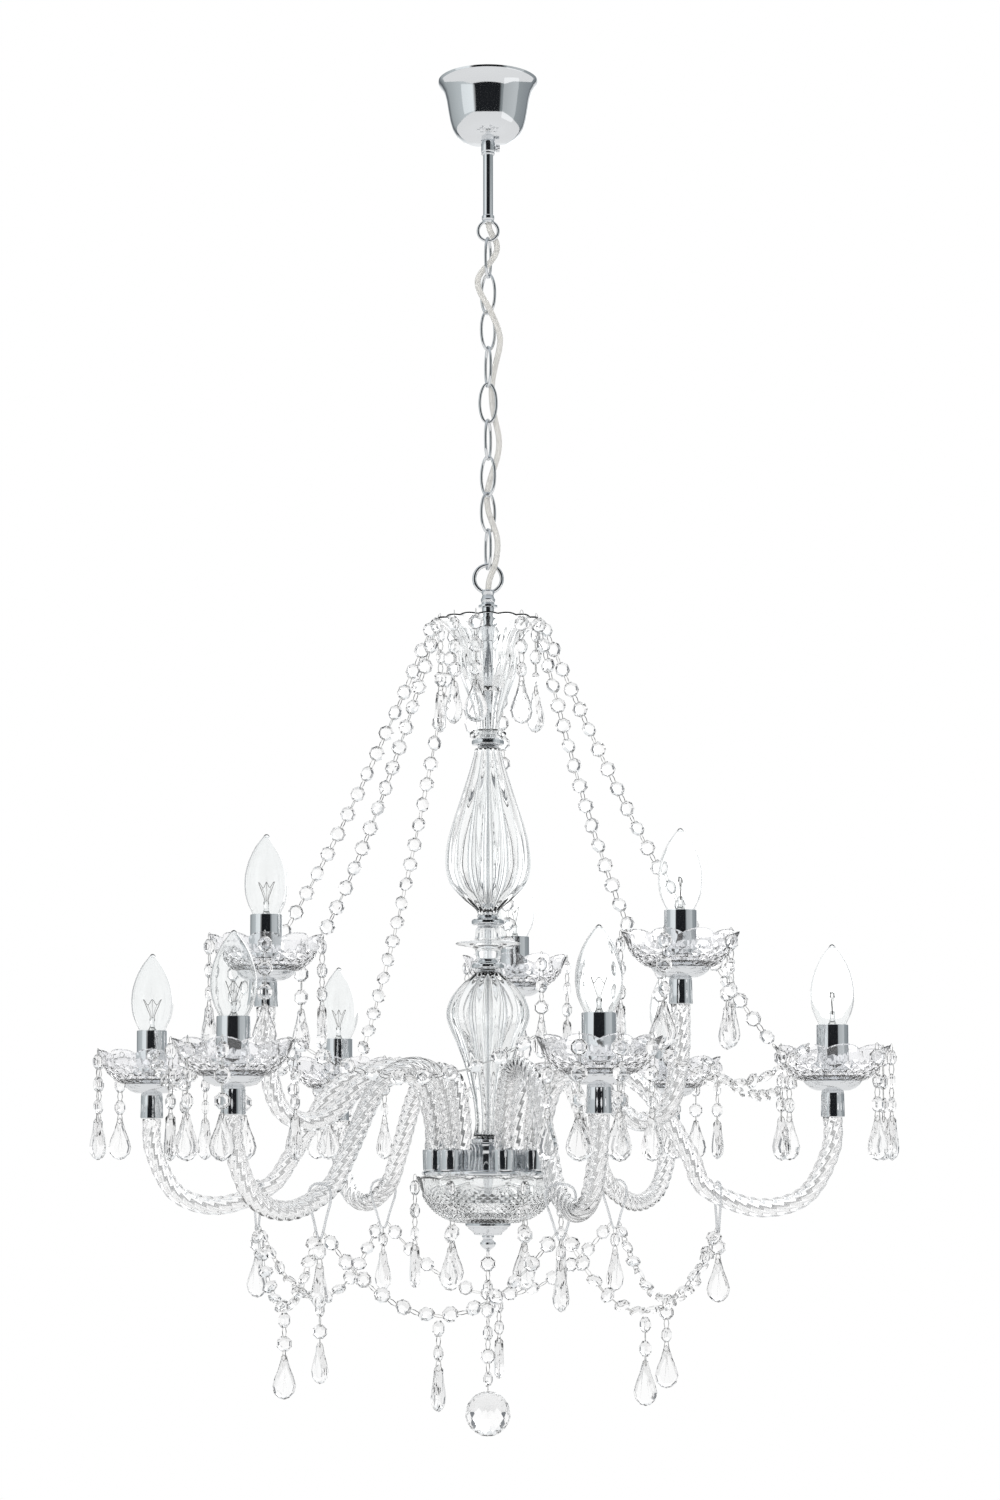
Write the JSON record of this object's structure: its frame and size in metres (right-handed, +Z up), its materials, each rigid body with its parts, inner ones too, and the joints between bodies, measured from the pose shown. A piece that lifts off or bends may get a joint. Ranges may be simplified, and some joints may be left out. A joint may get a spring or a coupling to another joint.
{
  "type": "crystal chandelier",
  "caption": "Crystal chandelier: twisted glass arms with candle bulbs on a fluted glass column, dressed in bead strands, hung by a linked chain from a ceiling cup",
  "frame": {"origin": "middle of the ceiling face of the mounting strap", "axes": "+Z up, -Y towards the picture's camera, +X to its right"},
  "size_m": [0.6543, 0.6285, 1.1118],
  "materials": {
    "chrome": "polished",
    "steel": "zinc plated",
    "terminal_plastic": "moulded",
    "holder_plastic": "moulded",
    "flex_plastic": "translucent",
    "hook_plastic": "clear moulded",
    "cast_glass": "clear cast",
    "bulb_glass": "clear blown",
    "crystal": "cut and polished"
  },
  "bodies": {
    "ceiling_mount": {"ceiling_bracket": "steel", "stem_tube": "chrome", "stem_nut": "chrome", "terminal_block": "terminal_plastic", "stem_loop": "chrome", "flex": "flex_plastic"},
    "cup": {"ceiling_cup": "chrome", "cup_collar": "chrome"},
    "screw": {"set_screw": "chrome"},
    "link_1": {"chain_link_1": "chrome"},
    "link_2": {"chain_link_2": "chrome"},
    "link_3": {"chain_link_3": "chrome"},
    "link_4": {"chain_link_4": "chrome"},
    "link_5": {"chain_link_5": "chrome"},
    "link_6": {"chain_link_6": "chrome"},
    "link_7": {"chain_link_7": "chrome"},
    "link_8": {"chain_link_8": "chrome"},
    "link_9": {"chain_link_9": "chrome"},
    "chandelier": {"body_ring": "chrome", "top_dish": "cast_glass", "column_discs": "chrome", "upper_baluster": "cast_glass", "lens_disc": "cast_glass", "lower_baluster": "cast_glass", "centre_rod": "chrome", "hub": "chrome", "bowl": "cast_glass", "bowl_cup": "chrome", "finial": "chrome", "lower_arm_1": "cast_glass", "lower_arm_2": "cast_glass", "lower_arm_3": "cast_glass", "lower_arm_4": "cast_glass", "lower_arm_5": "cast_glass", "lower_arm_6": "cast_glass", "upper_arm_1": "cast_glass", "upper_arm_2": "cast_glass", "upper_arm_3": "cast_glass", "arm_cups": "chrome", "pans": "chrome", "bobeches": "cast_glass", "sleeves": "chrome", "lampholders": "holder_plastic", "long_strands": "crystal", "short_drops": "crystal", "bobeche_drops": "crystal", "bobeche_swags": "crystal", "arm_hooks": "hook_plastic", "lower_swags": "crystal"},
    "lamp_1": {"bulb_1": "bulb_glass"},
    "lamp_2": {"bulb_2": "bulb_glass"},
    "lamp_3": {"bulb_3": "bulb_glass"},
    "lamp_4": {"bulb_4": "bulb_glass"},
    "lamp_5": {"bulb_5": "bulb_glass"},
    "lamp_6": {"bulb_6": "bulb_glass"},
    "lamp_7": {"bulb_7": "bulb_glass"},
    "lamp_8": {"bulb_8": "bulb_glass"},
    "lamp_9": {"bulb_9": "bulb_glass"},
    "ball_strand": {"ball_chain": "crystal"},
    "ball": {"crystal_ball": "crystal"}
  },
  "joints": [
    {"name": "cup_slide", "type": "slide", "parent": "ceiling_mount", "child": "cup", "axis": [0, 0, 1], "range_m": [-0.048, 0]},
    {"name": "set_screw_turn", "type": "hinge", "parent": "cup", "child": "screw", "pos_m": [0.0078, 0, -0.05575], "axis": [1, 0, 0], "range_deg": [0, 720]},
    {"name": "link_1_swing", "type": "hinge", "parent": "ceiling_mount", "child": "link_1", "pos_m": [0, 0, -0.13305], "axis": [1, 0, 0], "range_deg": [-12, 12], "deforming": ["flex"]},
    {"name": "link_2_swing", "type": "hinge", "parent": "link_1", "child": "link_2", "pos_m": [0, 0, -0.1632], "axis": [0.309, 0.9511, 0], "range_deg": [-12, 12], "deforming": ["flex"]},
    {"name": "link_3_swing", "type": "hinge", "parent": "link_2", "child": "link_3", "pos_m": [0, 0, -0.1934], "axis": [-0.809, 0.5878, 0], "range_deg": [-12, 12], "deforming": ["flex"]},
    {"name": "link_4_swing", "type": "hinge", "parent": "link_3", "child": "link_4", "pos_m": [0, 0, -0.2236], "axis": [-0.809, -0.5878, 0], "range_deg": [-12, 12], "deforming": ["flex"]},
    {"name": "link_5_swing", "type": "hinge", "parent": "link_4", "child": "link_5", "pos_m": [0, 0, -0.2538], "axis": [0.309, -0.9511, 0], "range_deg": [-12, 12], "deforming": ["flex"]},
    {"name": "link_6_swing", "type": "hinge", "parent": "link_5", "child": "link_6", "pos_m": [0, 0, -0.284], "axis": [1, 0, 0], "range_deg": [-12, 12], "deforming": ["flex"]},
    {"name": "link_7_swing", "type": "hinge", "parent": "link_6", "child": "link_7", "pos_m": [0, 0, -0.3142], "axis": [0.309, 0.9511, 0], "range_deg": [-12, 12], "deforming": ["flex"]},
    {"name": "link_8_swing", "type": "hinge", "parent": "link_7", "child": "link_8", "pos_m": [0, 0, -0.3444], "axis": [-0.809, 0.5878, 0], "range_deg": [-12, 12], "deforming": ["flex"]},
    {"name": "link_9_swing", "type": "hinge", "parent": "link_8", "child": "link_9", "pos_m": [0, 0, -0.3746], "axis": [-0.809, -0.5878, 0], "range_deg": [-12, 12], "deforming": ["flex"]},
    {"name": "chandelier_swing", "type": "hinge", "parent": "link_9", "child": "chandelier", "pos_m": [0, 0, -0.4048], "axis": [0.309, -0.9511, 0], "range_deg": [-12, 12], "deforming": ["flex"]},
    {"name": "bulb_1_turn", "type": "hinge", "parent": "chandelier", "child": "lamp_1", "pos_m": [0.08151, -0.27518, -0.8], "axis": [0, 0, 1], "range_deg": [0, 900]},
    {"name": "bulb_2_turn", "type": "hinge", "parent": "chandelier", "child": "lamp_2", "pos_m": [0.27388, -0.05822, -0.8], "axis": [0, 0, 1], "range_deg": [0, 900]},
    {"name": "bulb_3_turn", "type": "hinge", "parent": "chandelier", "child": "lamp_3", "pos_m": [0.16049, 0.23793, -0.8], "axis": [0, 0, 1], "range_deg": [0, 900]},
    {"name": "bulb_4_turn", "type": "hinge", "parent": "chandelier", "child": "lamp_4", "pos_m": [-0.13474, 0.25341, -0.8], "axis": [0, 0, 1], "range_deg": [0, 900]},
    {"name": "bulb_5_turn", "type": "hinge", "parent": "chandelier", "child": "lamp_5", "pos_m": [-0.2802, 0.06212, -0.8], "axis": [0, 0, 1], "range_deg": [0, 900]},
    {"name": "bulb_6_turn", "type": "hinge", "parent": "chandelier", "child": "lamp_6", "pos_m": [-0.18829, -0.2166, -0.8], "axis": [0, 0, 1], "range_deg": [0, 900]},
    {"name": "bulb_7_turn", "type": "hinge", "parent": "chandelier", "child": "lamp_7", "pos_m": [0.15014, -0.11314, -0.7], "axis": [0, 0, 1], "range_deg": [0, 900]},
    {"name": "bulb_8_turn", "type": "hinge", "parent": "chandelier", "child": "lamp_8", "pos_m": [0.02291, 0.1866, -0.7], "axis": [0, 0, 1], "range_deg": [0, 900]},
    {"name": "bulb_9_turn", "type": "hinge", "parent": "chandelier", "child": "lamp_9", "pos_m": [-0.17551, -0.06737, -0.7], "axis": [0, 0, 1], "range_deg": [0, 900]},
    {"name": "ball_strand_swing", "type": "hinge", "parent": "chandelier", "child": "ball_strand", "pos_m": [0, 0, -0.96315], "axis": [0, 1, 0], "range_deg": [-35, 35]},
    {"name": "ball_swing", "type": "hinge", "parent": "ball_strand", "child": "ball", "pos_m": [0, 0, -1.07505], "axis": [1, 0, 0], "range_deg": [-30, 30]}
  ]
}
